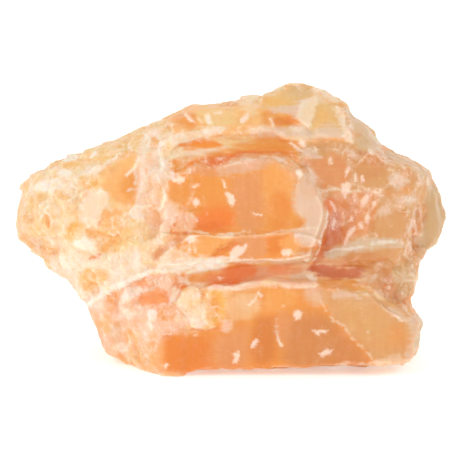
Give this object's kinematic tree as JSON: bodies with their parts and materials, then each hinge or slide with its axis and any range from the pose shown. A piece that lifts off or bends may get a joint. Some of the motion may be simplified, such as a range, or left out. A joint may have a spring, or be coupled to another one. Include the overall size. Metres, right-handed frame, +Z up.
{
  "type": "rough orange calcite",
  "caption": "Rough broken block of banded orange calcite, with smooth cleavage slabs in front, a sunk seam between its beds and a flat underside to stand on.",
  "frame": {"origin": "centre of the bounding box of the stone, at the height of the surface that it stands on", "axes": "+X to the right across the front, along the longest side; +Y from the front to the back; +Z up"},
  "size_m": [0.12, 0.062, 0.0756],
  "materials": {
    "orange_calcite": "raw broken calcite, translucent and softly glossy, orange with white bands and frosted chips"
  },
  "bodies": {
    "root": {"orange_calcite": "orange_calcite"}
  },
  "joints": []
}
